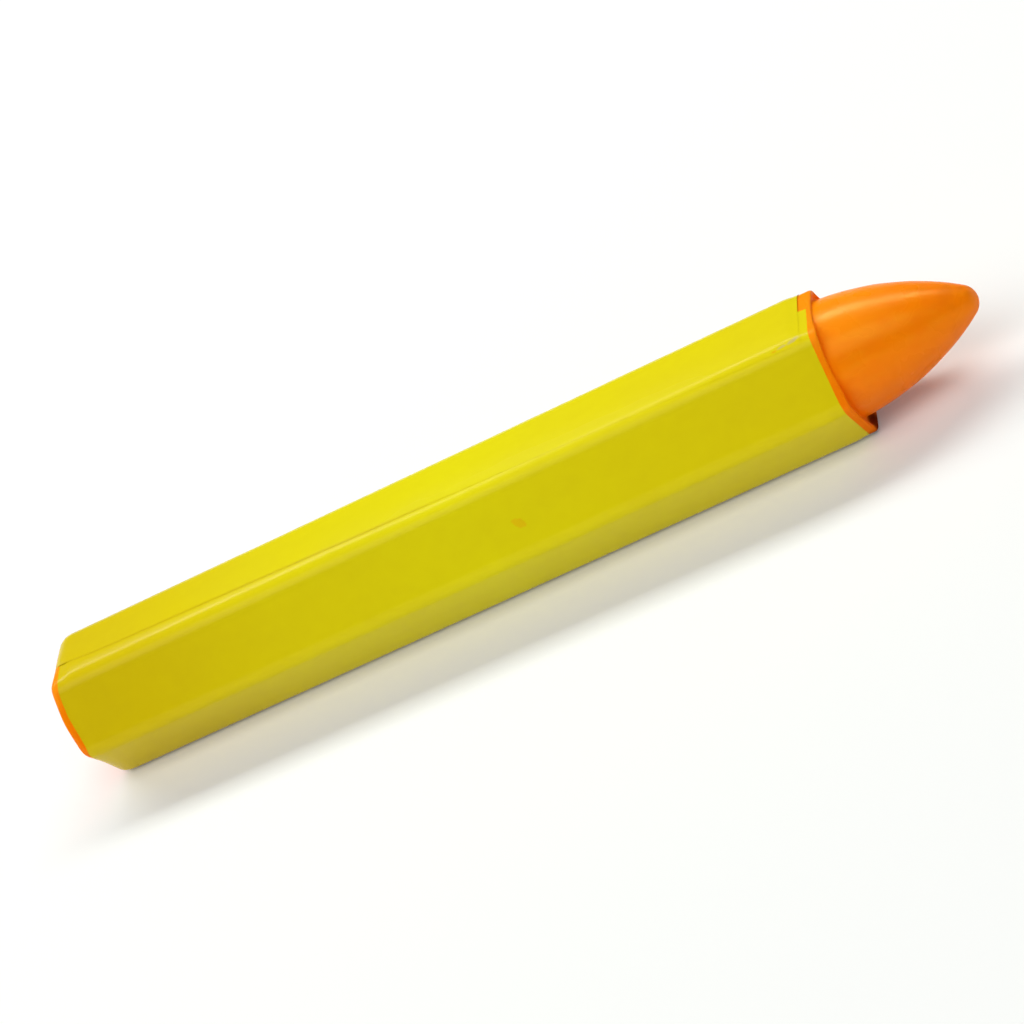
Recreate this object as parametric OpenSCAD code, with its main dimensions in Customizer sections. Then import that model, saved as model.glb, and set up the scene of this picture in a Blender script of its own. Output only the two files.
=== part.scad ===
// Tyre marking crayon: one hexagonal stick of hard wax with a moulded bullet tip,
// and a paper label wound round it once with its free edge lapped over its start.
// Units are millimetres. The stick lies along X on one flat, with its tip towards +X.
// The origin is under the middle of the crayon, on the surface that it rests on.

/* [Wax stick] */
// Distance between opposite flats of the wax stick
across_flats = 15.9; // [12:0.1:20]
// Length of the hexagonal body, from the back end to the shoulder
body_length = 103.4; // [80:0.1:130]
// Rounding of the six long corners
corner_radius = 2.1; // [1.7:0.1:3]
// Rounding of the edge of the back end
back_edge_radius = 1.6; // [0.4:0.1:1.6]
// Rounding of the outer edge of the shoulder
shoulder_edge_radius = 0.2; // [0.1:0.05:0.3]

/* [Bullet tip] */
// Length of the tip, from the shoulder to the nose
tip_length = 17.2; // [14:0.1:24]
// Width of the shoulder between the tip and the middle of a flat, if the tip is on the axis
shoulder_step = 0.75; // [0.6:0.05:2]
// Radius of the arc that the side of the tip follows
tip_side_radius = 33; // [30:1:60]
// Radius of the blunt nose
nose_radius = 2.1; // [1:0.1:2.6]
// Concave rounding where the tip meets the shoulder
tip_root_radius = 0.2; // [0.1:0.05:0.3]
// How far the mould set the tip off the body's axis, towards the flat that carries the lap
tip_offset = 0.4; // [0:0.05:0.4]

/* [Paper label] */
// Thickness of the paper
paper_thickness = 0.12; // [0.08:0.01:0.2]
// Clearance between the wax and the first turn
label_clearance = 0.03; // [0.02:0.01:0.1]
// Glue line between the two layers of the lap
glue_line = 0.03; // [0.02:0.01:0.06]
// How far the paper overlaps its own start
lap_width = 4.9; // [4:0.1:8]
// Angle that the sheet is wound askew by
label_skew = 1.1; // [0.2:0.1:1.5]
// Wax left bare at the back end, on the corner that the free edge follows
back_margin = 1.7; // [1:0.1:6]
// Wax left bare at the shoulder, on the same corner
front_margin = 0.6; // [0.3:0.1:6]
// How far the free edge runs past the middle of that corner, halfway along the sheet
free_edge_shift = -1.4; // [-2:0.05:0.5]
// How far the free edge is cut out of square with the sheet's other edges
free_edge_slant = 0.8; // [0:0.1:1]

/* [Hidden] */

wax_colour = [0.93, 0.46, 0.04];
paper_colour = [0.85, 0.79, 0.08];

// Facets of a full circle: round the tip, round a corner post and its edges, and on the long
// shallow arc of the tip's side
circle_steps = 96;
post_steps = 48;
side_arc_steps = 480;
// Steps of the paper round each corner
corner_steps = 10;
// How deep the tip is rooted in the body, so that the two are one casting
root_depth = 0.6;
// Width of the little bevel that stands for a cut corner of the sheet
sheet_corner = 0.03;

total_length = body_length + tip_length;
axis_height = across_flats / 2 + label_clearance + paper_thickness;
// Width of a flat between the rounded corners, which is also how far each corner's centre
// lies from the axis
flat_width = (across_flats - 2 * corner_radius) / sqrt(3);
corner_distance = flat_width;

// ---- Tip outline, as [radius, height above the shoulder] ----
tip_base_radius = across_flats / 2 - shoulder_step;
nose_centre = [0, tip_length - nose_radius];
// The side's arc passes through the edge of the tip's base and touches the nose from outside,
// so its centre is where two circles cross.
base_edge = [tip_base_radius, 0];
chord = norm(nose_centre - base_edge);
chord_dir = (nose_centre - base_edge) / chord;
inward_dir = [-chord_dir[1], chord_dir[0]];
side_reach = tip_side_radius - nose_radius;
foot = (pow(tip_side_radius, 2) - pow(side_reach, 2) + pow(chord, 2)) / (2 * chord);
side_centre = base_edge + foot * chord_dir + sqrt(pow(tip_side_radius, 2) - pow(foot, 2)) * inward_dir;
// Where the side runs into the nose
nose_tangent = side_centre + (nose_centre - side_centre) * tip_side_radius / side_reach;
// Centre of the concave rounding at the shoulder, which touches the side's arc and the shoulder
root_reach = tip_side_radius + tip_root_radius;
root_centre = [
    side_centre[0] + sqrt(pow(root_reach, 2) - pow(tip_root_radius - side_centre[1], 2)),
    tip_root_radius
];
root_tangent = side_centre + (root_centre - side_centre) * tip_side_radius / root_reach;

// ---- Girth of the stick, measured along the middle of the paper ----
corner_arc = (corner_radius + label_clearance + paper_thickness / 2) * PI / 3;
side_pitch = flat_width + corner_arc;
// Girth 0 is the middle of the top flat, and it grows over the top front corner and down.
lap_corner = flat_width / 2 + corner_arc / 2;
layer_rise = paper_thickness + glue_line;

// ---- The flat sheet: a near rectangle laid askew on the unrolled girth ----
skew_slope = tan(label_skew);
free_edge_slope = tan(label_skew + free_edge_slant);
sheet_width = 6 * side_pitch + lap_width;
sheet_length = (body_length - back_margin - front_margin) / cos(label_skew);
free_edge_middle = 6 * side_pitch + lap_corner + free_edge_shift;
// The sheet's first corner, as a girth and a distance from the back end
start_girth = free_edge_middle - sheet_width * cos(label_skew) - sheet_length / 2 * sin(label_skew);
start_back = back_margin + (lap_corner - start_girth) * skew_slope;
// Distance from the back end of the free edge's middle
free_edge_back = start_back - sheet_width * sin(label_skew) + sheet_length / 2 * cos(label_skew);
// How far the sheet's start drifts round the girth from one end of the sheet to the other
start_drift = sheet_length * sin(label_skew);
// The second layer has climbed by one layer before it reaches the sheet's start
climb_end = 6 * side_pitch + min(-flat_width / 2, start_girth - sheet_corner);
climb_start = climb_end - corner_arc;

// Distance from the back end of each edge of the sheet, at a girth
function back_edge(g) = start_back - (g - start_girth) * skew_slope;
function front_edge(g) = back_edge(g) + sheet_length / cos(label_skew);
function start_edge(g) = start_back + (g - start_girth) / skew_slope;
function free_edge(g) = free_edge_back + (g - free_edge_middle) / free_edge_slope;

// Girth where the free edge meets the back or the front edge of the sheet, given how far that edge
// is from the back end at the sheet's start
function free_edge_crossing(start_distance) =
    (start_distance - free_edge_back + start_girth * skew_slope + free_edge_middle / free_edge_slope)
        / (skew_slope + 1 / free_edge_slope);

// Height of the paper's inner side above the wax at a girth
function lift(g) = label_clearance
    + layer_rise * max(0, min(1, (g - climb_start) / (climb_end - climb_start)));

// Point [y, z] about the stick's axis at a girth and a height above the wax
function around(g, h) =
    let (side = floor((g + flat_width / 2) / side_pitch),
         along = g - side * side_pitch,
         turn = 60 * side,
         bend = max(0, (along - flat_width / 2) / corner_arc * 60),
         reach = min(along, flat_width / 2),
         out = [-sin(turn), cos(turn)],
         across = [-cos(turn), -sin(turn)])
    out * (across_flats / 2 - corner_radius) + across * reach
        + (corner_radius + h) * [-sin(turn + bend), cos(turn + bend)];

function paper_point(x, g, h) =
    let (p = around(g, h))
    [x - total_length / 2, p[0], p[1] + axis_height];

// Put a girth into a rising list, unless it is there
function with_girth(list, g) = concat(
    [for (v = list) if (v < g - sheet_corner) v],
    [g],
    [for (v = list) if (v > g + sheet_corner) v]
);

// Girths where the paper starts or ends a flat, or is bent round a corner
first_girth = start_girth + sheet_corner;
end_girth = free_edge_crossing(start_back);
last_girth = free_edge_crossing(start_back + sheet_length / cos(label_skew)) - sheet_corner;
bend_girths = [
    for (side = [-1:7], i = [0:corner_steps])
        side * side_pitch + flat_width / 2 + corner_arc * i / corner_steps
];
girths = with_girth(with_girth(with_girth(with_girth(
    [for (g = bend_girths) if (g > first_girth && g < last_girth) g],
    first_girth), start_girth + start_drift), end_girth), last_girth);

// Outline of the body as [radius, height], with both of its outer edges rounded
module body_outline(radius) {
    difference() {
        square([radius, body_length]);
        translate([radius - back_edge_radius, back_edge_radius])
            rotate(-90) edge_waste(back_edge_radius);
        translate([radius - shoulder_edge_radius, body_length - shoulder_edge_radius])
            edge_waste(shoulder_edge_radius);
    }
}

// What a rounding of radius r takes off a square corner
module edge_waste(r) {
    difference() {
        square(r + 1);
        circle(r, $fn = post_steps);
    }
}

// Outline of the tip as [radius, height above the shoulder]
module tip_outline() {
    // side
    intersection() {
        translate(side_centre) circle(tip_side_radius, $fn = side_arc_steps);
        translate([0, -root_depth]) square([across_flats / 2, root_depth + nose_tangent[1]]);
    }
    // nose
    intersection() {
        translate(nose_centre) circle(nose_radius, $fn = circle_steps);
        translate([0, nose_tangent[1]]) square(tip_length);
    }
    // concave rounding at the shoulder
    difference() {
        polygon([
            [0, -root_depth],
            [root_centre[0], -root_depth],
            [root_centre[0], root_centre[1]],
            root_tangent,
            [0, root_tangent[1]]
        ]);
        translate(root_centre) circle(tip_root_radius, $fn = circle_steps);
    }
}

// A round post that fills one corner of the hexagon, with the body's rounded ends
module corner_post() {
    rotate_extrude($fn = post_steps) body_outline(corner_radius);
}

module wax_stick() {
    color(wax_colour)
    translate([-total_length / 2, 0, axis_height])
    rotate([0, 90, 0]) {
        hull()
            for (corner = [0:5])
                rotate(60 * corner + 30) translate([corner_distance, 0]) rotate(-30) corner_post();
        translate([-tip_offset, 0, body_length])
            rotate_extrude($fn = circle_steps) tip_outline();
    }
}

// The sheet is a strip of four-cornered sections, one at each girth
module paper_label() {
    sections = [for (g = girths) let (
        lo = max(back_edge(g), free_edge(g)),
        hi = min(front_edge(g), start_edge(g)),
        h = lift(g)
    ) [
        paper_point(lo, g, h),
        paper_point(hi, g, h),
        paper_point(hi, g, h + paper_thickness),
        paper_point(lo, g, h + paper_thickness)
    ]];
    last = len(sections) - 1;
    color(paper_colour)
    polyhedron(
        points = [for (s = sections, p = s) p],
        faces = concat(
            [[3, 2, 1, 0]],
            [for (i = [0:last - 1], k = [0:3])
                [4 * i + k, 4 * i + (k + 1) % 4, 4 * i + 4 + (k + 1) % 4, 4 * i + 4 + k]],
            [[4 * last, 4 * last + 1, 4 * last + 2, 4 * last + 3]]
        ),
        convexity = 4
    );
}

wax_stick();
paper_label();
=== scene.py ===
"""Looks of a tyre marking crayon: an orange wax stick with a bullet tip in a yellow paper label.

Both pieces are rebuilt as dense meshes on the CAD nodes' own sizes, so that the rounded edges,
the lapped sheet with its slight waves and the worn places of the casting are real shapes.
Sizes are in metres. The sheet coordinates that the label's material reads are in millimetres.
"""

import math

import bpy
import numpy as np
from mathutils import Matrix, Vector, noise


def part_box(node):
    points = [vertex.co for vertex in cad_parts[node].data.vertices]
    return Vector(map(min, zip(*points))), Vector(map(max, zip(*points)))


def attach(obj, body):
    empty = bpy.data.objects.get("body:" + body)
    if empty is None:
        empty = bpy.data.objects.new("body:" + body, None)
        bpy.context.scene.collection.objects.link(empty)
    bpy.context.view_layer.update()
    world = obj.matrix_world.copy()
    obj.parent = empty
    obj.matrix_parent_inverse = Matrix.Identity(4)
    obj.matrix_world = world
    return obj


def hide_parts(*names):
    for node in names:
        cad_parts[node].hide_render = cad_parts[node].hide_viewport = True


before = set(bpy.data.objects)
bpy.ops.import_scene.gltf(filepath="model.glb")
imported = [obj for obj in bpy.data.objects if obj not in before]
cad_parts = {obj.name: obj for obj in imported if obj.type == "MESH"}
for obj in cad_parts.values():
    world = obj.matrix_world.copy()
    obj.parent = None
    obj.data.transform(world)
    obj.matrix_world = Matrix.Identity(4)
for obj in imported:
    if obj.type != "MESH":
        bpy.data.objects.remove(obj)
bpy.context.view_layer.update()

MM = 0.001
# Below, a pair of numbers is where a smooth change starts and where it ends, unless a comment
# says what else it is.

# ---- Sizes of the wax stick ----
wax_low, wax_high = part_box("wax_stick")
label_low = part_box("paper_label")[0]

ACROSS_FLATS = wax_high.z - wax_low.z
TOTAL_LENGTH = wax_high.x - wax_low.x
AXIS_HEIGHT = (wax_low.z + wax_high.z) / 2
BACK_END_X = wax_low.x
CORNER_RADIUS = 2.1 * MM
SHOULDER_EDGE_RADIUS = 0.2 * MM
# The back end's edge is worn unevenly: its rounding at the middle of the top flat, then by turns
# at each corner and at the middle of each flat, down the front and up the back
BACK_EDGE_RADII = np.array([1.7, 1.2, 0.3, 1.3, 1.8, 1.7, 1.2, 1.5, 0.9, 1.5, 1.5, 2.05]) * MM
# The rounding ends everywhere before this distance from the back end.
BACK_EDGE_REACH = 2.1 * MM
# The bare wax is softly uneven, most of all on the tip, and has a fine grain.
BODY_SWELL = 0.012 * MM
TIP_SWELL = 0.042 * MM
TIP_SWELL_RISE = 2 * MM
SWELL_LENGTH = 5 * MM
GRAIN_HEIGHT = 0.006 * MM
GRAIN_LENGTH = 0.9 * MM
# Under the label it is left even. The first pair is from the back end, the second from the
# shoulder.
COVERED_RISE = (0.6 * MM, 1.6 * MM)
COVERED_FALL = (-0.7 * MM, 0)

# ---- Sizes of the bullet tip ----
TIP_LENGTH = 17.2 * MM
SHOULDER_STEP = 0.75 * MM
TIP_BASE_RADIUS = ACROSS_FLATS / 2 - SHOULDER_STEP
TIP_SIDE_RADIUS = 33 * MM
NOSE_RADIUS = 2.1 * MM
TIP_ROOT_RADIUS = 0.2 * MM
TIP_OFFSET = 0.4 * MM
BODY_LENGTH = TOTAL_LENGTH - TIP_LENGTH
SHOULDER_X = BACK_END_X + BODY_LENGTH
NOSE_X = wax_high.x
# The mould left a low lip round the shoulder, and a shallow groove between it and the tip.
LIP_HEIGHT = 0.26 * MM
GROOVE_DEPTH = 0.15 * MM
# The lip rises and falls round the shoulder in two crossing waves, by a share of its height.
LIP_WAVES = (2.3 * MM, 5.1 * MM)
LIP_UNEVENNESS = 0.35
# The lip and the groove fade where the shoulder is narrower than this, though a share of the lip
# stays.
LIP_ROOM = 0.8 * MM
LIP_LEAST = 0.4
# Where the lip falls to the groove, as shares of the way in to the tip
LIP_FALL = (0.15, 0.8)

# ---- Sizes of the paper label ----
PAPER_THICKNESS = 0.12 * MM
LABEL_CLEARANCE = wax_low.z - label_low.z - PAPER_THICKNESS
GLUE_LINE = 0.03 * MM
LAP_WIDTH = 4.9 * MM
LABEL_SKEW = math.radians(1.1)
BACK_MARGIN = 1.7 * MM
FRONT_MARGIN = 0.6 * MM
FREE_EDGE_SHIFT = -1.4 * MM
FREE_EDGE_SLANT = math.radians(0.8)

# ---- Girth of the stick: girth 0 is the middle of the top flat, and it grows down the front ----
FLAT_WIDTH = (ACROSS_FLATS - 2 * CORNER_RADIUS) / math.sqrt(3)
CORNER_ARC = (CORNER_RADIUS + LABEL_CLEARANCE + PAPER_THICKNESS / 2) * math.pi / 3
SIDE_PITCH = FLAT_WIDTH + CORNER_ARC
FULL_GIRTH = 6 * SIDE_PITCH
LAP_CORNER = FLAT_WIDTH / 2 + CORNER_ARC / 2
BOTTOM_GIRTH = FULL_GIRTH / 2

# ---- The flat sheet, a near rectangle laid askew on the unrolled girth ----
SHEET_WIDTH = FULL_GIRTH + LAP_WIDTH
SHEET_LENGTH = (BODY_LENGTH - BACK_MARGIN - FRONT_MARGIN) / math.cos(LABEL_SKEW)
FREE_EDGE_GIRTH = FULL_GIRTH + LAP_CORNER + FREE_EDGE_SHIFT
START_GIRTH = (FREE_EDGE_GIRTH - SHEET_WIDTH * math.cos(LABEL_SKEW)
               - SHEET_LENGTH / 2 * math.sin(LABEL_SKEW))
START_BACK = BACK_MARGIN + (LAP_CORNER - START_GIRTH) * math.tan(LABEL_SKEW)
# The second layer has climbed by one layer before it reaches the sheet's start.
CLIMB_END = FULL_GIRTH + min(-FLAT_WIDTH / 2, START_GIRTH)
CLIMB_START = CLIMB_END - CORNER_ARC

# ---- How the real sheet differs from that flat one ----
# How far the front edge was cut beyond the straight line, halfway round the stick
FRONT_CUT_BOW = 0.2 * MM
# How far the back edge was cut beyond the straight line, at places round the stick
BACK_CUT_GIRTHS = np.array([-2, 4, 6.8, 8.5, 10.5, 12.7, 15.5, 18, 54]) * MM
BACK_CUT_JUTS = np.array([0.2, 0.25, 0.55, 0.62, 0.45, 0.25, 0.7, 0.72, 0]) * MM
# The power that a jut dies out by, from the back edge to the front one
BACK_CUT_FADE = 4
# The free edge's back corner is trimmed.
FREE_CORNER_TRIM = 0.55 * MM
FREE_CORNER_LENGTH = 3 * MM
# Both cuts waver a little.
CUT_RAGGEDNESS = 0.02 * MM
CUT_WAVES = (3.1 * MM, 0.83 * MM)
# The sheet is pressed down along its edges, where it is thinner and hardly stands off.
PRESSED_SIDE = 4 * MM
PRESSED_END = 2 * MM
PRESSED_LOSS = 0.098 * MM
PRESSED_FRONT_LOSS = 0.112 * MM
PRESSED_FRONT_RISE = (48 * MM, 66 * MM)
PRESSED_DROP = 0.024 * MM
# At the very back nothing lies under the lap, so its second layer comes down to the wax there.
LAP_RISE = (0.9 * MM, 2.4 * MM)
# The share of the second layer's height that is lost where the ends are pressed
LAP_PRESSED_SHARE = 0.2
# The sheet waves a little. The waves are read on a circle as large as the stick, so that both
# layers of the lap wave alike.
WAVE_HEIGHT = 0.045 * MM
WAVE_LENGTH = 9 * MM
WAVE_CIRCLE = 9 * MM
# There are none under the stick, up to these distances from the middle of the bottom flat.
LYING_REACH = (SIDE_PITCH * 0.5, SIDE_PITCH * 0.8)
# Along the back half of the lapped corner the paper stands off the top flat, and slopes down to
# the corner. These are girths, and then distances from the back end.
BULGE_HEIGHT = 0.20 * MM
BULGE_START = -3.6 * MM
BULGE_TOP = 2.4 * MM
BULGE_END = 4.8 * MM
BULGE_RISE = (1.3 * MM, 3.4 * MM)
BULGE_FALL = (38 * MM, 57 * MM)
# The free edge reaches a little further round where the paper stands off.
FREE_EDGE_BOW = 0.25 * MM
BOW_RISE = (2 * MM, 8 * MM)
BOW_FALL = (40 * MM, 54 * MM)
# Only the cut edge is sharp enough to be shaded as an edge.
SHARP_ANGLE = math.radians(40)

# ---- Fineness of the meshes ----
SHEET_COLUMNS = 300
SHEET_ROWS = 84
EDGE_ROWS = 8
# Points across a flat and round a corner of the wax
FLAT_STEPS = 20
CORNER_STEPS = 16
# Rings on the back end's face, as shares of its size, and on its rounded edge
BACK_FACE_SHARES = (0.12, 0.3, 0.5, 0.7, 0.88)
BACK_EDGE_STEPS = 17
# Rings on the body, close together only near its bare ends
BARE_BACK_LENGTH = 4 * MM
BARE_BACK_SPACING = 0.25 * MM
BARE_FRONT_LENGTH = 3 * MM
BARE_FRONT_SPACING = 0.2 * MM
COVERED_RINGS = 26
# Rings on the shoulder's rounded edge and on the shoulder, then on the tip's root, side and nose
SHOULDER_EDGE_STEPS = 9
SHOULDER_STEPS = 15
TIP_ROOT_STEPS = 6
TIP_SIDE_STEPS = 56
NOSE_STEPS = 18

# ---- Floor, world and lamps ----
FLOOR_HALF_WIDTH = 6.0
FLOOR_DEPTH = 0.02 * MM
FLOOR_COLOUR = (0.86, 0.86, 0.86, 1)
FLOOR_ROUGHNESS = 0.9
# The floor's own shading shows near the crayon, and beyond it the floor runs out into white.
FLOOR_WHITENING = (90 * MM, 420 * MM)
FLOOR_NEAR_WHITE = 0.12
# The world is white near the horizon and dims above it. The heights are those of a direction one
# unit long.
HORIZON_TOP = 0.12
ROOM_BOTTOM = 0.20
HORIZON_STRENGTH = 1.0
ROOM_STRENGTH = 0.06
# The lamps' names, their directions from the crayon, their lengths and widths in metres, their
# power in watts and their colours
LAMP_DISTANCE = 1.0
LAMPS = (
    ("back_strip", (-0.17, 0.55, 0.815), (1.7, 0.20), 11.0, (0.95, 1.0, 0.96)),
    ("front_strip", (-0.17, -0.50, 0.83), (1.7, 0.60), 8.3, (1.0, 0.98, 0.96)),
)

# ---- The camera, as the photograph's view was measured ----
VIEW_AZIMUTH = math.radians(21.87)
VIEW_ELEVATION = math.radians(32.01)
VIEW_ROLL = math.radians(-36.74)
VIEW_DISTANCE = 449.9 * MM
VIEW_TARGET = Vector((-0.26, 0, 8.24)) * MM
VIEW_LENS = 135.4
SENSOR_WIDTH = 36
CLIP_START = 0.01
CLIP_END = 50

# ---- Colours ----
WAX_COLOUR = (1.0, 0.235, 0.001)
WAX_DEEP_COLOUR = (0.98, 0.21, 0.001)
WAX_PALE_COLOUR = (1.0, 0.27, 0.004)
# Painted light on the top of the wax, and painted shade on its lower part
WAX_PAINTED_LIGHT_COLOUR = (1.0, 0.285, 0.005)
WAX_PAINTED_UNDERSIDE_COLOUR = (0.95, 0.195, 0.001)
# The colour of the painted shade in the shoulder's lowest front corner
WAX_DIRT_COLOUR = (0.55, 0.10, 0.004)
WAX_PAINTED_SHADE_COLOUR = (0.09, 0.004, 0.001)
WAX_GLOSS_TINT = (1.0, 0.85, 0.15, 1)
LABEL_COLOURS = (
    (0.00, (0.64, 0.485, 0.003)),
    (0.11, (0.66, 0.515, 0.003)),
    (0.29, (0.71, 0.60, 0.004)),
    (0.54, (0.74, 0.66, 0.004)),
    (0.77, (0.735, 0.63, 0.004)),
    (1.00, (0.73, 0.605, 0.004)),
)
LABEL_BLOTCH = (0.97, 0.955, 0.9)
LABEL_MOTTLE = (0.985, 0.975, 0.95)
SEAM_PAINTED_SHADE = (0.86, 0.76, 0.6)
CUT_EDGE_COLOUR = (0.68, 0.55, 0.02)
PAPER_COLOUR = (0.75, 0.70, 0.55)
SCUFF_COLOUR = (0.47, 0.37, 0.24)
STAIN_COLOUR = (0.80, 0.30, 0.004)

# ---- How the wax's colours lie ----
# Clouds of deeper colour, and pale streaks that are drawn out along the casting
CLOUD_LENGTH = 3.5 * MM
CLOUD_SPAN = (0.35, 0.7)
STREAK_LENGTH = 1.3 * MM
STREAK_STRETCH = 7
STREAK_SPAN = (0.45, 0.75)
STREAK_SHARE = 0.5
# Painted light and shade: the wax is painted paler on top, where the light falls, and darker lower
# down.
PAINTED_LIGHT_HEIGHTS = (AXIS_HEIGHT + 4.5 * MM, AXIS_HEIGHT + 7.5 * MM)
PAINTED_UNDERSIDE_HEIGHTS = (AXIS_HEIGHT - 0.5 * MM, AXIS_HEIGHT + 3.5 * MM)
HEIGHT_SHARE = 0.8
# The nose has picked up a little dirt.
DIRTY_NOSE = (NOSE_X - 6 * MM, NOSE_X - 1 * MM)
DIRT_LENGTH = 2.4 * MM
DIRT_SPAN = (0.4, 0.75)
DIRT_SHARE = 0.3
# Painted shade: the shoulder's lowest front corner, under the tip, is painted near black where
# shade falls. The reaches are distances from it.
PAINTED_SHADE_PLACE = (SHOULDER_X, -3.2 * MM, AXIS_HEIGHT - 7.6 * MM)
PAINTED_SHADE_REACH = (0.9 * MM, 2.7 * MM)
PAINTED_SHADE_SHARE = 0.9
PAINTED_SHADE_DULL_REACH = (1.5 * MM, 3.0 * MM)

# ---- The wax's surface. Glosses are levels of the shader's specular socket. ----
# The tip shines, but the body's bare ends are dull.
BODY_GLOSS = 0.12
TIP_GLOSS = 0.45
GLOSS_RISE = (SHOULDER_X + 0.3 * MM, SHOULDER_X + 1.3 * MM)
# Wax is rough too finely to mirror much along its outline, where it keeps a share of its gloss.
OUTLINE_SPAN = (0.33, 0.60)
OUTLINE_SHARE = 0.08
WAX_SMOOTH = 0.25
WAX_ROUGH = 0.32
ROUGH_SPAN = (0.3, 0.7)
GRAIN_RELIEF = 0.006 * MM
GRAIN_RELIEF_LENGTH = 0.35 * MM
GRAIN_STRETCH = 2.5
GRAIN_DETAIL = 3
# Light enters the wax a little way, red light the furthest.
LIGHT_SHARE = 0.15
LIGHT_REACHES = (1.0, 0.35, 0.08)
LIGHT_SCALE = 1.0 * MM
SURFACE_IOR = 1.45

# ---- How the label's colours lie. Places are in millimetres along and round the stick. ----
BLOTCH_LENGTH = 6 * MM
BLOTCH_STRETCH = 1.6
BLOTCH_SPAN = (0.4, 0.75)
BLOTCH_SHARE = 0.6
MOTTLE_LENGTH = 1.5 * MM
MOTTLE_SPAN = (0.25, 0.75)
MOTTLE_SHARE = 0.8
# Painted shade: a faint darker line along the free edge, where the lap steps down, fainter at the
# back, which dies out towards the tip
SEAM_REACH = (0.05, 0.5)
SEAM_RISE = (8, 28)
SEAM_FALL = (45, 65)
SEAM_SHARE = 0.5
SEAM_BACK_SHARE = 0.5
# The sheet's side runs from 0 on the inner side to 1 on the outer one. Between them is the cut.
INNER_SIDE = (0.0, 0.1)
OUTER_SIDE = (0.9, 1.0)

# ---- The label's surface ----
LABEL_GLOSS = 0.10
LABEL_SMOOTH = 0.21
LABEL_ROUGH = 0.26
# The gloss is rubbed off along both sides of the free edge's front half, less so at the tip.
RUBBED_ROUGHNESS = 0.14
RUBBED_REACH = (0.5, 2.6)
RUBBED_RISE = (40, 70)
RUBBED_FALL = (80, 96)
RUBBED_LEAST = 0.2

# ---- Worn and stained places on the label ----
# Each is an oval with a ragged rim: its place along and round the stick and its length and width,
# in millimetres, its turn in degrees, the raggedness of its rim, its strength and its colour
LABEL_MARKS = (
    (99.5, 4.2, 1.6, 0.4, -4, 1.1, 0.42, SCUFF_COLOUR),
    (100.9, 4.05, 1.6, 0.6, -12, 1.1, 0.5, SCUFF_COLOUR),
    (101.5, 3.8, 0.9, 0.5, 20, 0.9, 0.3, SCUFF_COLOUR),
    (98.6, 4.35, 0.9, 0.4, 0, 0.6, 0.4, STAIN_COLOUR),
    (63.0, 9.8, 2.6, 1.2, 32, 1.6, 0.34, STAIN_COLOUR),
)
# Where an oval fades, as shares of its half size, and the waves of its rim
MARK_FADE = (0.4, 1.0)
RAGGED_LENGTH = 0.9 * MM


# ======== Shapes ========

def around(girth, height):
    """Distances (y, z) from the stick's axis, at a girth and a height above the wax."""
    side = np.floor((girth + FLAT_WIDTH / 2) / SIDE_PITCH)
    along = girth - side * SIDE_PITCH
    turn = side * math.pi / 3
    bend = np.clip((along - FLAT_WIDTH / 2) / CORNER_ARC, 0, 1) * math.pi / 3
    reach = np.minimum(along, FLAT_WIDTH / 2)
    core = ACROSS_FLATS / 2 - CORNER_RADIUS
    radius = CORNER_RADIUS + height
    y = -np.sin(turn) * core - np.cos(turn) * reach - np.sin(turn + bend) * radius
    z = np.cos(turn) * core - np.sin(turn) * reach + np.cos(turn + bend) * radius
    return y, z


def smooth_step(value, low, high):
    """0 below low, 1 above high, and a smooth rise between them."""
    share = np.clip((value - low) / (high - low), 0, 1)
    return share * share * (3 - 2 * share)


def rise_and_fall(value, rise, fall):
    """1 between the rise and the fall, each given by its start and its end, and 0 outside them."""
    return smooth_step(value, *rise) * (1 - smooth_step(value, *fall))


def back_edge_radius(girth):
    """The rounding of the back end's edge at a girth."""
    place = (girth % FULL_GIRTH) / (SIDE_PITCH / 2)
    before = np.floor(place).astype(int)
    share = smooth_step(place - before, 0, 1)
    first = BACK_EDGE_RADII[before % len(BACK_EDGE_RADII)]
    second = BACK_EDGE_RADII[(before + 1) % len(BACK_EDGE_RADII)]
    return first + (second - first) * share


def noise_at(points, wavelength):
    """Noise from -1 to 1 at points in metres, with waves of about that length and half of it."""
    scale = 1 / wavelength
    return np.array([noise.fractal(Vector(p) * scale, 1.0, 2.0, 2) for p in points])


def add_piece(name, points, faces, material, node):
    """A smooth mesh that rides on the body and stands for a CAD node."""
    mesh = bpy.data.meshes.new(name)
    mesh.from_pydata(points.tolist(), [], faces)
    mesh.validate()
    mesh.update()
    mesh.polygons.foreach_set("use_smooth", [True] * len(mesh.polygons))
    piece = bpy.data.objects.new(name, mesh)
    bpy.context.scene.collection.objects.link(piece)
    mesh.materials.append(material)
    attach(piece, "root")
    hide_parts(node)
    return piece


def ring_faces(rings, columns):
    """Faces between closed rings of columns points each, after and before a single end point."""
    first = 1
    last = 1 + rings * columns
    faces = []
    for c in range(columns):
        n = (c + 1) % columns
        faces.append((0, first + n, first + c))
    for r in range(rings - 1):
        low = first + r * columns
        high = low + columns
        for c in range(columns):
            n = (c + 1) % columns
            faces.append((low + c, low + n, high + n, high + c))
    low = last - columns
    for c in range(columns):
        n = (c + 1) % columns
        faces.append((low + c, low + n, last))
    return faces


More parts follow.
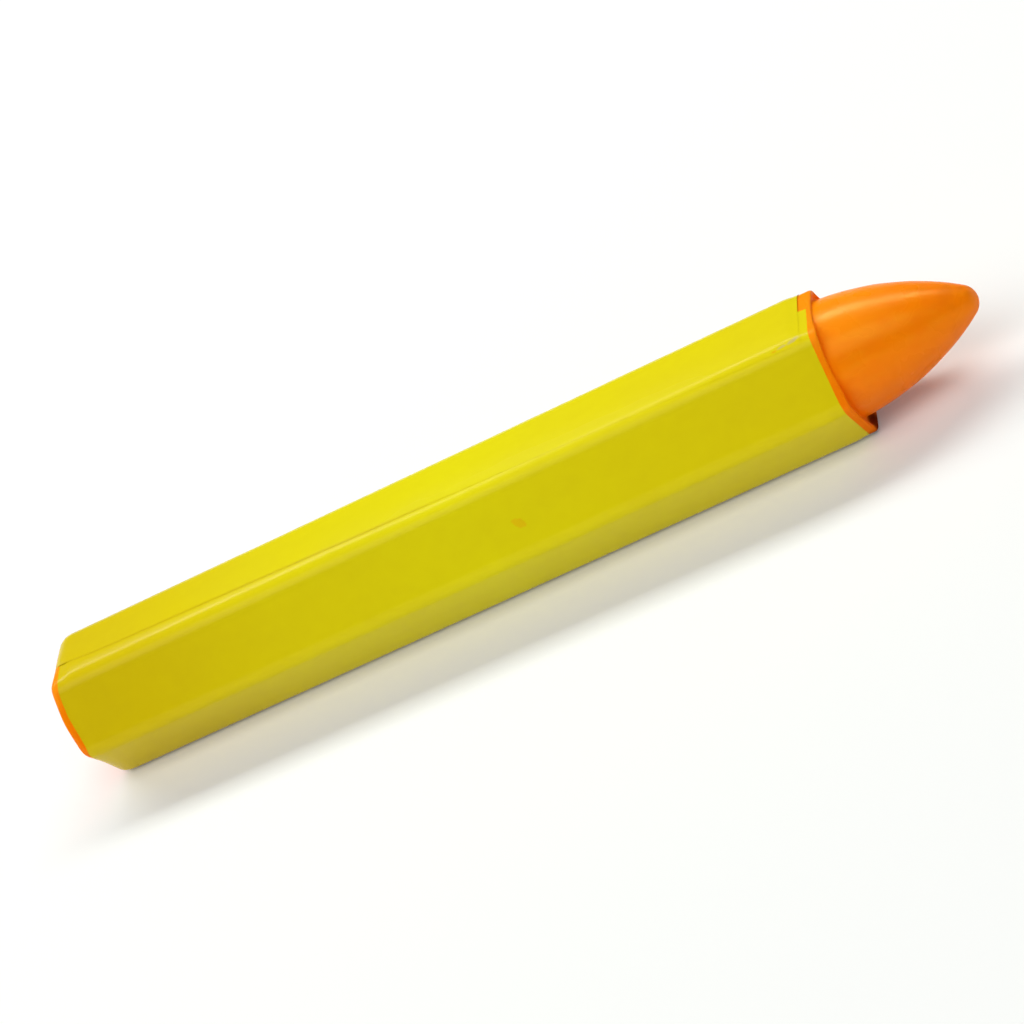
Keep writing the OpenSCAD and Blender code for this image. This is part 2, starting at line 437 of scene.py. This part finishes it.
def tip_outline():
    """The tip's outline as (radius, height above the shoulder), from the shoulder to the nose."""
    nose = np.array([0, TIP_LENGTH - NOSE_RADIUS])
    base = np.array([TIP_BASE_RADIUS, 0])
    # The side's arc passes through the base edge and touches the nose from outside.
    chord = np.linalg.norm(nose - base)
    chord_dir = (nose - base) / chord
    inward = np.array([-chord_dir[1], chord_dir[0]])
    side_reach = TIP_SIDE_RADIUS - NOSE_RADIUS
    foot = (TIP_SIDE_RADIUS ** 2 - side_reach ** 2 + chord ** 2) / (2 * chord)
    side = base + foot * chord_dir + math.sqrt(TIP_SIDE_RADIUS ** 2 - foot ** 2) * inward
    # The concave rounding touches the side's arc and the shoulder.
    root_reach = TIP_SIDE_RADIUS + TIP_ROOT_RADIUS
    root = np.array([
        side[0] + math.sqrt(root_reach ** 2 - (TIP_ROOT_RADIUS - side[1]) ** 2),
        TIP_ROOT_RADIUS,
    ])
    root_turn = math.atan2(*(side - root)[::-1]) % (2 * math.pi)
    side_turn = math.atan2(*(root - side)[::-1])
    nose_turn = math.atan2(*(nose - side)[::-1])
    arcs = (
        (root, TIP_ROOT_RADIUS, 1.5 * math.pi, root_turn, TIP_ROOT_STEPS),
        (side, TIP_SIDE_RADIUS, side_turn, nose_turn, TIP_SIDE_STEPS),
        (nose, NOSE_RADIUS, nose_turn, 0.5 * math.pi, NOSE_STEPS),
    )
    outline = []
    for centre, radius, start, end, steps in arcs:
        for turn in np.linspace(start, end, steps, endpoint=False):
            outline.append(centre + radius * np.array([math.cos(turn), math.sin(turn)]))
    return outline


def wax_rings():
    """Rings of points along the casting, as (x, y, z) from the middle of its back end."""
    side_girths = np.concatenate([
        np.linspace(-FLAT_WIDTH / 2, FLAT_WIDTH / 2, FLAT_STEPS, endpoint=False),
        np.linspace(FLAT_WIDTH / 2, FLAT_WIDTH / 2 + CORNER_ARC, CORNER_STEPS, endpoint=False),
    ])
    girths = np.concatenate([side * SIDE_PITCH + side_girths for side in range(6)])
    y, z = around(girths, 0.0)
    polar = np.arctan2(-y, z)
    rings = []

    def add_ring(x, y, z):
        rings.append(np.stack([np.broadcast_to(x, len(y)), y, z], axis=1))

    # back end face and its rounded edge
    edge = back_edge_radius(girths)
    y, z = around(girths, -edge)
    for share in BACK_FACE_SHARES:
        add_ring(0.0, y * share, z * share)
    for turn in np.linspace(math.pi / 2, 0, BACK_EDGE_STEPS):
        y, z = around(girths, edge * (math.cos(turn) - 1))
        add_ring(edge * (1 - math.sin(turn)), y, z)
    # body, with close rings only near its bare ends
    y, z = around(girths, 0.0)
    covered_end = BODY_LENGTH - BARE_FRONT_LENGTH
    bare_back = np.arange(BACK_EDGE_REACH, BARE_BACK_LENGTH, BARE_BACK_SPACING)
    covered = np.linspace(BARE_BACK_LENGTH, covered_end, COVERED_RINGS)
    bare_front = np.arange(covered_end, BODY_LENGTH - SHOULDER_EDGE_RADIUS, BARE_FRONT_SPACING)[1:]
    for x in np.concatenate([bare_back, covered, bare_front]):
        add_ring(x, y, z)
    # shoulder: its rounded edge and its lip, then the groove
    outline = tip_outline()
    root_y = -np.sin(polar) * outline[0][0]
    root_z = np.cos(polar) * outline[0][0] + TIP_OFFSET
    y, z = around(girths, -SHOULDER_EDGE_RADIUS)
    room = smooth_step(np.hypot(y - root_y, z - root_z), 0.0, LIP_ROOM)
    wave = np.sin(girths / LIP_WAVES[0]) * np.sin(girths / LIP_WAVES[1] + 1)
    lip = LIP_HEIGHT * (LIP_LEAST + (1 - LIP_LEAST) * room) * (1 + LIP_UNEVENNESS * wave)
    groove = GROOVE_DEPTH * room
    for turn in np.linspace(0, math.pi / 2, SHOULDER_EDGE_STEPS):
        y, z = around(girths, SHOULDER_EDGE_RADIUS * (math.cos(turn) - 1))
        add_ring(BODY_LENGTH + (lip + SHOULDER_EDGE_RADIUS) * math.sin(turn)
                 - SHOULDER_EDGE_RADIUS, y, z)
    for share in np.linspace(0, 1, SHOULDER_STEPS, endpoint=False)[1:]:
        fall = (lip + groove) * smooth_step(share, *LIP_FALL)
        add_ring(BODY_LENGTH + lip - fall, y + (root_y - y) * share, z + (root_z - z) * share)
    # tip
    for radius, height in outline:
        sink = groove * (1 - smooth_step(height, 0.0, 2 * TIP_ROOT_RADIUS))
        add_ring(BODY_LENGTH + height - sink,
                 -np.sin(polar) * radius, np.cos(polar) * radius + TIP_OFFSET)
    return rings


def build_wax(material):
    """The casting: hexagonal body, shoulder and tip, as one closed skin."""
    rings = wax_rings()
    columns = len(rings[0])
    points = np.concatenate([[[0, 0, 0]], *rings, [[TOTAL_LENGTH, 0, TIP_OFFSET]]])
    points += [BACK_END_X, 0, AXIS_HEIGHT]
    piece = add_piece("wax_casting", points, ring_faces(len(rings), columns), material,
                      "wax_stick")
    roughen_wax(piece)


def roughen_wax(piece):
    """Gives the bare wax the soft unevenness of a casting that has been handled."""
    mesh = piece.data
    count = len(mesh.vertices)
    points = np.empty(count * 3)
    normals = np.empty(count * 3)
    mesh.vertices.foreach_get("co", points)
    mesh.vertex_normals.foreach_get("vector", normals)
    points = points.reshape(-1, 3)
    normals = normals.reshape(-1, 3)
    from_back = points[:, 0] - BACK_END_X
    from_shoulder = from_back - BODY_LENGTH
    covered = smooth_step(from_back, *COVERED_RISE)
    covered = covered * (1 - smooth_step(from_shoulder, *COVERED_FALL))
    on_tip = smooth_step(from_shoulder, 0, TIP_SWELL_RISE)
    swell = noise_at(points, SWELL_LENGTH) * (BODY_SWELL + (TIP_SWELL - BODY_SWELL) * on_tip)
    grain = noise_at(points, GRAIN_LENGTH) * GRAIN_HEIGHT
    points += normals * ((swell + grain) * (1 - covered))[:, None]
    mesh.vertices.foreach_set("co", points.ravel())
    mesh.update()


def sheet_lift(girth):
    """Height of the paper's inner side above the wax, which climbs by a layer before the lap."""
    share = np.clip((girth - CLIMB_START) / (CLIMB_END - CLIMB_START), 0, 1)
    return LABEL_CLEARANCE + (PAPER_THICKNESS + GLUE_LINE) * share


def lap_bulge(girth, from_back):
    """How far the paper stands off the top flat beside the lapped corner, in both layers."""
    round_stick = (girth + BOTTOM_GIRTH) % FULL_GIRTH - BOTTOM_GIRTH
    across = rise_and_fall(round_stick, (BULGE_START, BULGE_TOP), (BULGE_TOP, BULGE_END))
    along = rise_and_fall(from_back, BULGE_RISE, BULGE_FALL)
    return BULGE_HEIGHT * across * along


def build_label(material):
    """The sheet wound once round the stick, with its free edge lapped over its start."""
    share, along = np.meshgrid(
        np.linspace(0, 1, SHEET_COLUMNS + 1),
        np.concatenate([
            np.linspace(0, BACK_EDGE_REACH, EDGE_ROWS, endpoint=False),
            np.linspace(BACK_EDGE_REACH, SHEET_LENGTH - PRESSED_END, SHEET_ROWS, endpoint=False),
            np.linspace(SHEET_LENGTH - PRESSED_END, SHEET_LENGTH, EDGE_ROWS),
        ]),
        indexing="ij",
    )
    width = SHEET_WIDTH + (along - SHEET_LENGTH / 2) * math.tan(FREE_EDGE_SLANT)
    width = width - FREE_CORNER_TRIM * (1 - smooth_step(along, 0, FREE_CORNER_LENGTH))
    width = width + FREE_EDGE_BOW * rise_and_fall(along, BOW_RISE, BOW_FALL)
    across = share * width
    end_distance = np.minimum(along, SHEET_LENGTH - along)
    # Neither end of the sheet was cut quite straight.
    forward = along / SHEET_LENGTH
    jut = np.interp(START_GIRTH + across, BACK_CUT_GIRTHS, BACK_CUT_JUTS)
    along = (along + FRONT_CUT_BOW * np.sin(share * math.pi) * forward
             - jut * (1 - forward) ** BACK_CUT_FADE)
    waver = np.sin(across / CUT_WAVES[0]) * np.sin(across / CUT_WAVES[1])
    along = along + CUT_RAGGEDNESS * waver
    girth = START_GIRTH + across * math.cos(LABEL_SKEW) + along * math.sin(LABEL_SKEW)
    from_back = START_BACK - across * math.sin(LABEL_SKEW) + along * math.cos(LABEL_SKEW)

    # The sheet waves a little, but lies flat under the stick and is pressed down at its ends.
    turn = (girth / FULL_GIRTH).ravel() * 2 * math.pi
    wave_points = np.stack([
        from_back.ravel(),
        np.sin(turn) * WAVE_CIRCLE,
        np.cos(turn) * WAVE_CIRCLE,
    ], axis=1)
    wave = noise_at(wave_points, WAVE_LENGTH).reshape(girth.shape)
    lying = 1 - smooth_step(np.abs(girth - BOTTOM_GIRTH), *LYING_REACH)
    pressed_end = 1 - smooth_step(end_distance, 0, PRESSED_END)
    wave = (0.5 + 0.5 * wave) * WAVE_HEIGHT * (1 - np.maximum(lying, pressed_end))
    wave = wave + lap_bulge(girth, from_back)
    # Pressed edges are thinner. The lap comes down to the wax where nothing lies under it.
    pressed = np.maximum(1 - smooth_step(width - across, 0, PRESSED_SIDE), pressed_end)
    rise = sheet_lift(girth) - LABEL_CLEARANCE
    rise = rise * smooth_step(from_back, *LAP_RISE) * (1 - LAP_PRESSED_SHARE * pressed_end)
    low = LABEL_CLEARANCE + rise + wave - PRESSED_DROP * pressed
    front_half = smooth_step(from_back, *PRESSED_FRONT_RISE)
    loss = PRESSED_LOSS + (PRESSED_FRONT_LOSS - PRESSED_LOSS) * front_half
    high = low + PAPER_THICKNESS - loss * pressed

    # At the back end the sheet is smoothed down over the rounded edge.
    edge = back_edge_radius(girth)
    bend = np.maximum(edge - from_back, 0) / edge
    sides = []
    for height in (low, high):
        y, z = around(girth, (edge + height) * np.cos(bend) - edge)
        x = np.where(bend > 0, edge - (edge + height) * np.sin(bend), from_back)
        sides.append(np.stack([x + BACK_END_X, y, z + AXIS_HEIGHT], axis=-1).reshape(-1, 3))
    points = np.concatenate(sides)
    piece = add_piece("label_sheet", points, sheet_faces(*girth.shape), material,
                      "paper_label")
    mark_sheet(piece, girth, from_back)
    piece.data.set_sharp_from_angle(angle=SHARP_ANGLE)


def sheet_faces(columns, rows):
    """Faces of a closed sheet: its inner side, its outer side and the cut edge between them."""
    outer = columns * rows
    faces = []
    for c in range(columns - 1):
        for r in range(rows - 1):
            a = c * rows + r
            b = a + rows
            faces.append((a, a + 1, b + 1, b))
            faces.append((outer + a, outer + b, outer + b + 1, outer + a + 1))
    rim = [(c * rows, (c + 1) * rows) for c in range(columns - 1)]
    rim += [((columns - 1) * rows + r, (columns - 1) * rows + r + 1) for r in range(rows - 1)]
    rim += [((c + 1) * rows + rows - 1, c * rows + rows - 1) for c in range(columns - 1)]
    rim += [(r + 1, r) for r in range(rows - 1)]
    faces += [(a, b, outer + b, outer + a) for a, b in rim]
    return faces


def mark_sheet(piece, girth, from_back):
    """Stores where each point lies on the sheet, in millimetres, for the label's material: its
    place along and round the stick, how far round it lies past the free edge, and its side."""
    mesh = piece.data
    count = girth.size
    wrapped = (girth + BOTTOM_GIRTH) % FULL_GIRTH - BOTTOM_GIRTH
    values = {
        "sheet_along": np.tile(from_back.ravel() / MM, 2),
        "sheet_girth": np.tile(wrapped.ravel() / MM, 2),
        "sheet_seam": np.tile((wrapped - wrapped[-1]).ravel() / MM, 2),
        "sheet_side": np.repeat([0.0, 1.0], count),
    }
    for name, value in values.items():
        attribute = mesh.attributes.new(name, "FLOAT", "POINT")
        attribute.data.foreach_set("value", value.astype(np.float32))


# ======== Materials ========

class Shading:
    """The nodes of one material. Each method adds a node and returns the socket that it gives."""

    def __init__(self, name):
        self.material = bpy.data.materials.new(name)
        self.material.use_nodes = True
        self.nodes = self.material.node_tree.nodes
        self.links = self.material.node_tree.links
        self.shader = self.nodes["Principled BSDF"]

    def feed(self, socket, value):
        """Sets an input to a number or colour, or links it to another node's output."""
        if isinstance(value, bpy.types.NodeSocket):
            self.links.new(value, socket)
        else:
            socket.default_value = value

    def attribute(self, name):
        """A number stored on the mesh."""
        node = self.nodes.new("ShaderNodeAttribute")
        node.attribute_name = name
        return node.outputs["Fac"]

    def place(self):
        """The point's place (x, y, z) in metres, as three outputs."""
        coordinates = self.nodes.new("ShaderNodeTexCoord")
        split = self.nodes.new("ShaderNodeSeparateXYZ")
        self.links.new(coordinates.outputs["Object"], split.inputs[0])
        return split.outputs

    def turned_away(self):
        """0 where the surface faces the eye, and 1 where it turns out of sight."""
        node = self.nodes.new("ShaderNodeLayerWeight")
        node.inputs["Blend"].default_value = 0.5
        return node.outputs["Facing"]

    def distance(self, point):
        """How far the surface is from a point, in metres."""
        coordinates = self.nodes.new("ShaderNodeTexCoord")
        node = self.nodes.new("ShaderNodeVectorMath")
        node.operation = "DISTANCE"
        node.inputs[1].default_value = point
        self.links.new(coordinates.outputs["Object"], node.inputs[0])
        return node.outputs["Value"]

    def math(self, operation, *values):
        """One arithmetic step."""
        node = self.nodes.new("ShaderNodeMath")
        node.operation = operation
        for socket, value in zip(node.inputs, values):
            self.feed(socket, value)
        return node.outputs[0]

    def step(self, value, span, below=0.0, above=1.0):
        """A smooth change from below to above as the value crosses a span."""
        node = self.nodes.new("ShaderNodeMapRange")
        node.interpolation_type = "SMOOTHSTEP"
        for name, number in (("Value", value), ("From Min", span[0]), ("From Max", span[1]),
                             ("To Min", below), ("To Max", above)):
            self.feed(node.inputs[name], number)
        return node.outputs["Result"]

    def noise(self, wavelength, stretch=1.0, detail=2.0):
        """Noise about 0.5 with waves of that length, drawn out along X by the stretch."""
        coordinates = self.nodes.new("ShaderNodeTexCoord")
        mapping = self.nodes.new("ShaderNodeMapping")
        mapping.inputs["Scale"].default_value = (1 / (wavelength * stretch), 1 / wavelength,
                                                 1 / wavelength)
        node = self.nodes.new("ShaderNodeTexNoise")
        node.inputs["Scale"].default_value = 1.0
        node.inputs["Detail"].default_value = detail
        self.links.new(coordinates.outputs["Object"], mapping.inputs["Vector"])
        self.links.new(mapping.outputs["Vector"], node.inputs["Vector"])
        return node.outputs["Fac"]

    def ramp(self, value, stops):
        """A colour from (place, colour) stops."""
        node = self.nodes.new("ShaderNodeValToRGB")
        elements = node.color_ramp.elements
        while len(elements) < len(stops):
            elements.new(0.5)
        for element, (place, colour) in zip(elements, stops):
            element.position = place
            element.color = (*colour, 1)
        self.feed(node.inputs["Fac"], value)
        return node.outputs["Color"]

    def blend(self, share, first, second, kind="MIX"):
        """The first colour, with a share of the second mixed in or multiplied onto it."""
        node = self.nodes.new("ShaderNodeMix")
        node.data_type = "RGBA"
        node.blend_type = kind
        self.feed(node.inputs["Factor"], share)
        for name, colour in (("A", first), ("B", second)):
            socket = [i for i in node.inputs if i.name == name and i.type == "RGBA"][0]
            self.feed(socket, colour if isinstance(colour, bpy.types.NodeSocket) else (*colour, 1))
        return [o for o in node.outputs if o.type == "RGBA"][0]

    def whiten(self, share):
        """Mixes a share of plain white, which may vary, into what is seen directly or mirrored."""
        path = self.nodes.new("ShaderNodeLightPath")
        seen = self.math("ADD", path.outputs["Is Camera Ray"], path.outputs["Is Glossy Ray"])
        seen = self.math("ADD", seen, path.outputs["Is Transmission Ray"])
        white = self.nodes.new("ShaderNodeEmission")
        mixed = self.nodes.new("ShaderNodeMixShader")
        self.links.new(self.math("MULTIPLY", seen, share), mixed.inputs["Fac"])
        self.links.new(self.shader.outputs[0], mixed.inputs[1])
        self.links.new(white.outputs[0], mixed.inputs[2])
        self.links.new(mixed.outputs[0], self.nodes["Material Output"].inputs["Surface"])

    def bump(self, height, depth):
        """A relief of that depth in metres."""
        node = self.nodes.new("ShaderNodeBump")
        node.inputs["Strength"].default_value = 1.0
        node.inputs["Distance"].default_value = depth
        self.links.new(height, node.inputs["Height"])
        return node.outputs["Normal"]


def wax_material():
    """Satin orange marking wax, a little greasy, with faint flow streaks along the casting."""
    wax = Shading("orange_wax")
    x, _, z = wax.place()
    cloud = wax.noise(CLOUD_LENGTH)
    streak = wax.noise(STREAK_LENGTH, stretch=STREAK_STRETCH)
    colour = wax.blend(wax.step(cloud, CLOUD_SPAN), WAX_COLOUR, WAX_DEEP_COLOUR)
    streaky = wax.step(streak, STREAK_SPAN, above=STREAK_SHARE)
    colour = wax.blend(streaky, colour, WAX_PALE_COLOUR)
    # Painted light on top and painted shade below, by height
    top_light = wax.step(z, PAINTED_LIGHT_HEIGHTS, above=HEIGHT_SHARE)
    colour = wax.blend(top_light, colour, WAX_PAINTED_LIGHT_COLOUR)
    underside_shade = wax.step(z, PAINTED_UNDERSIDE_HEIGHTS, below=HEIGHT_SHARE, above=0.0)
    colour = wax.blend(underside_shade, colour, WAX_PAINTED_UNDERSIDE_COLOUR)
    dirt = wax.step(wax.noise(DIRT_LENGTH), DIRT_SPAN, above=DIRT_SHARE)
    dirt = wax.math("MULTIPLY", wax.step(x, DIRTY_NOSE), dirt)
    colour = wax.blend(dirt, colour, WAX_DIRT_COLOUR)
    # Painted shade: the shoulder's lowest front corner, under the tip, is darkened
    corner = wax.distance(PAINTED_SHADE_PLACE)
    corner_shade = wax.step(corner, PAINTED_SHADE_REACH, below=PAINTED_SHADE_SHARE, above=0.0)
    colour = wax.blend(corner_shade, colour, WAX_PAINTED_SHADE_COLOUR)
    wax.feed(wax.shader.inputs["Base Color"], colour)
    # The painted shade in the corner has no gloss.
    gloss = wax.step(x, GLOSS_RISE, below=BODY_GLOSS, above=TIP_GLOSS)
    gloss = wax.math("MULTIPLY", gloss, wax.step(corner, PAINTED_SHADE_DULL_REACH))
    outline = wax.step(wax.turned_away(), OUTLINE_SPAN, below=1.0, above=OUTLINE_SHARE)
    gloss = wax.math("MULTIPLY", gloss, outline)
    wax.feed(wax.shader.inputs["Specular IOR Level"], gloss)
    roughness = wax.step(cloud, ROUGH_SPAN, below=WAX_SMOOTH, above=WAX_ROUGH)
    wax.feed(wax.shader.inputs["Roughness"], roughness)
    grain = wax.noise(GRAIN_RELIEF_LENGTH, stretch=GRAIN_STRETCH, detail=GRAIN_DETAIL)
    wax.feed(wax.shader.inputs["Normal"], wax.bump(grain, GRAIN_RELIEF))
    wax.shader.inputs["IOR"].default_value = SURFACE_IOR
    wax.shader.inputs["Specular IOR Level"].default_value = TIP_GLOSS
    wax.shader.inputs["Specular Tint"].default_value = WAX_GLOSS_TINT
    wax.shader.inputs["Subsurface Weight"].default_value = LIGHT_SHARE
    wax.shader.inputs["Subsurface Radius"].default_value = LIGHT_REACHES
    wax.shader.inputs["Subsurface Scale"].default_value = LIGHT_SCALE
    return wax.material


def label_material():
    """Coated yellow paper with a semi-gloss face, bleached and handled."""
    label = Shading("yellow_label")
    along = label.attribute("sheet_along")
    girth = label.attribute("sheet_girth")
    seam = label.math("ABSOLUTE", label.attribute("sheet_seam"))
    side = label.attribute("sheet_side")
    colour = label.ramp(label.math("DIVIDE", along, BODY_LENGTH / MM), LABEL_COLOURS)
    blotch = label.noise(BLOTCH_LENGTH, stretch=BLOTCH_STRETCH)
    blotched = label.step(blotch, BLOTCH_SPAN, above=BLOTCH_SHARE)
    colour = label.blend(blotched, colour, LABEL_BLOTCH, "MULTIPLY")
    mottled = label.step(label.noise(MOTTLE_LENGTH), MOTTLE_SPAN, above=MOTTLE_SHARE)
    colour = label.blend(mottled, colour, LABEL_MOTTLE, "MULTIPLY")
    ragged = label.noise(RAGGED_LENGTH)
    for *mark, shade in LABEL_MARKS:
        colour = label.blend(mark_share(label, along, girth, ragged, mark), colour, shade)
    # Painted shade along the lap's free edge
    line = label.step(seam, SEAM_REACH, below=1.0, above=0.0)
    line = label.math("MULTIPLY", line, label.step(along, SEAM_FALL, below=SEAM_SHARE, above=0.0))
    line = label.math("MULTIPLY", line, label.step(along, SEAM_RISE, below=SEAM_BACK_SHARE))
    colour = label.blend(line, colour, SEAM_PAINTED_SHADE, "MULTIPLY")
    # The cut edge and the unprinted inner side
    for span, shade in ((OUTER_SIDE, CUT_EDGE_COLOUR), (INNER_SIDE, PAPER_COLOUR)):
        colour = label.blend(label.step(side, span, below=1.0, above=0.0), colour, shade)
    label.feed(label.shader.inputs["Base Color"], colour)
    rubbed = label.step(seam, RUBBED_REACH, below=RUBBED_ROUGHNESS, above=0.0)
    rubbed = label.math("MULTIPLY", rubbed, label.step(along, RUBBED_RISE))
    rubbed_end = label.step(along, RUBBED_FALL, below=1.0, above=RUBBED_LEAST)
    rubbed = label.math("MULTIPLY", rubbed, rubbed_end)
    roughness = label.step(blotch, ROUGH_SPAN, below=LABEL_SMOOTH, above=LABEL_ROUGH)
    roughness = label.math("ADD", roughness, rubbed)
    label.feed(label.shader.inputs["Roughness"], roughness)
    label.shader.inputs["IOR"].default_value = SURFACE_IOR
    label.shader.inputs["Specular IOR Level"].default_value = LABEL_GLOSS
    return label.material


def mark_share(label, along, girth, ragged, mark):
    """How strongly a worn or stained place shows at a point of the sheet."""
    mark_along, mark_girth, length, width, degrees, raggedness, strength = mark
    turn = math.radians(degrees)
    right = label.math("SUBTRACT", along, mark_along)
    down = label.math("SUBTRACT", girth, mark_girth)
    parts = []
    for size, first, second in (
        (length, math.cos(turn), math.sin(turn)),
        (width, -math.sin(turn), math.cos(turn)),
    ):
        first_part = label.math("MULTIPLY", right, first * 2 / size)
        total = label.math("MULTIPLY_ADD", down, second * 2 / size, first_part)
        parts.append(label.math("MULTIPLY", total, total))
    distance = label.math("SQRT", label.math("ADD", *parts))
    distance = label.math("MULTIPLY_ADD", ragged, raggedness, distance)
    # The noise is about 0.5, so on average it moves the rim out by half of the raggedness.
    fade = [place + raggedness / 2 for place in MARK_FADE]
    return label.step(distance, fade, below=strength, above=0.0)


# ======== Stage, lights and camera ========

def build_floor():
    """A plain pale floor."""
    mesh = bpy.data.meshes.new("floor")
    half = FLOOR_HALF_WIDTH
    mesh.from_pydata([(-half, -half, 0), (half, -half, 0), (half, half, 0), (-half, half, 0)],
                     [], [(0, 1, 2, 3)])
    floor = bpy.data.objects.new("floor", mesh)
    floor.location.z = -FLOOR_DEPTH
    bpy.context.scene.collection.objects.link(floor)
    paint = Shading("pale_floor")
    paint.shader.inputs["Base Color"].default_value = FLOOR_COLOUR
    paint.shader.inputs["Roughness"].default_value = FLOOR_ROUGHNESS
    paint.shader.inputs["Specular IOR Level"].default_value = 0.0
    paint.whiten(paint.step(paint.distance((0, 0, 0)), FLOOR_WHITENING, below=FLOOR_NEAR_WHITE))
    mesh.materials.append(paint.material)


def add_softbox(name, direction, size, power, colour):
    """A rectangular lamp that faces the crayon, its long side along the crayon."""
    lamp = bpy.data.lights.new(name, "AREA")
    lamp.shape = "RECTANGLE"
    lamp.size, lamp.size_y = size
    lamp.energy = power
    lamp.color = colour
    holder = bpy.data.objects.new(name, lamp)
    towards = Vector(direction).normalized()
    side = Vector((1, 0, 0))
    side = (side - side.dot(towards) * towards).normalized()
    holder.matrix_world = Matrix((side, towards.cross(side), towards)).transposed().to_4x4()
    holder.location = towards * LAMP_DISTANCE
    bpy.context.scene.collection.objects.link(holder)


def build_world():
    """A dim room, pale at the horizon."""
    world = bpy.data.worlds.new("studio")
    bpy.context.scene.world = world
    world.use_nodes = True
    nodes = world.node_tree.nodes
    links = world.node_tree.links
    background = nodes["Background"]
    background.inputs["Color"].default_value = (1, 1, 1, 1)
    direction = nodes.new("ShaderNodeTexCoord")
    height = nodes.new("ShaderNodeSeparateXYZ")
    fade = nodes.new("ShaderNodeMapRange")
    fade.interpolation_type = "SMOOTHSTEP"
    fade.inputs["From Min"].default_value = HORIZON_TOP
    fade.inputs["From Max"].default_value = ROOM_BOTTOM
    fade.inputs["To Min"].default_value = HORIZON_STRENGTH
    fade.inputs["To Max"].default_value = ROOM_STRENGTH
    links.new(direction.outputs["Generated"], height.inputs[0])
    links.new(height.outputs["Z"], fade.inputs["Value"])
    links.new(fade.outputs["Result"], background.inputs["Strength"])


def build_camera():
    """The camera at the photograph's viewing angle."""
    towards = Vector((
        math.sin(VIEW_AZIMUTH) * math.cos(VIEW_ELEVATION),
        -math.cos(VIEW_AZIMUTH) * math.cos(VIEW_ELEVATION),
        math.sin(VIEW_ELEVATION),
    ))
    level = Vector((math.cos(VIEW_AZIMUTH), math.sin(VIEW_AZIMUTH), 0))
    upright = towards.cross(level)
    right = math.cos(VIEW_ROLL) * level + math.sin(VIEW_ROLL) * upright
    up = math.cos(VIEW_ROLL) * upright - math.sin(VIEW_ROLL) * level
    lens = bpy.data.cameras.new("camera")
    lens.sensor_width = SENSOR_WIDTH
    lens.lens = VIEW_LENS
    lens.clip_start = CLIP_START
    lens.clip_end = CLIP_END
    camera = bpy.data.objects.new("camera", lens)
    camera.matrix_world = Matrix((right, up, towards)).transposed().to_4x4()
    camera.location = VIEW_TARGET + towards * VIEW_DISTANCE
    bpy.context.scene.collection.objects.link(camera)
    bpy.context.scene.camera = camera


build_wax(wax_material())
build_label(label_material())
build_floor()
build_world()
for lamp in LAMPS:
    add_softbox(*lamp)
build_camera()
bpy.context.scene.view_settings.view_transform = "Standard"
